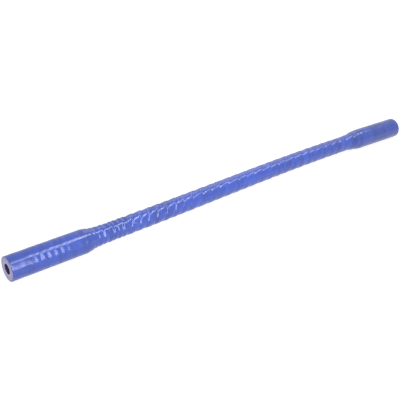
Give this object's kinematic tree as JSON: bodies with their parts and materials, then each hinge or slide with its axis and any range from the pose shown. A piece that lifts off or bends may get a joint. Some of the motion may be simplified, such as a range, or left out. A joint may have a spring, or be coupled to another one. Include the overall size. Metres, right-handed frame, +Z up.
{
  "type": "silicone coolant hose",
  "caption": "Flexible blue silicone coolant hose with a spirally wound, thick-walled body and two plain thicker cuffs, open right through, lying in a slight bend.",
  "frame": {"origin": "on the floor under the middle of the hose", "axes": "+X along the hose from the end with the longer cuff to the other end, +Y towards the side that the hose bows to, +Z up"},
  "size_m": [0.9152, 0.0458, 0.0402],
  "materials": {
    "silicone": "smooth blue silicone rubber with a soft gloss and the fine marks of a wrapping tape, its cut ends a paler grey lilac"
  },
  "bodies": {
    "root": {"coolant_hose": "silicone"}
  },
  "joints": []
}
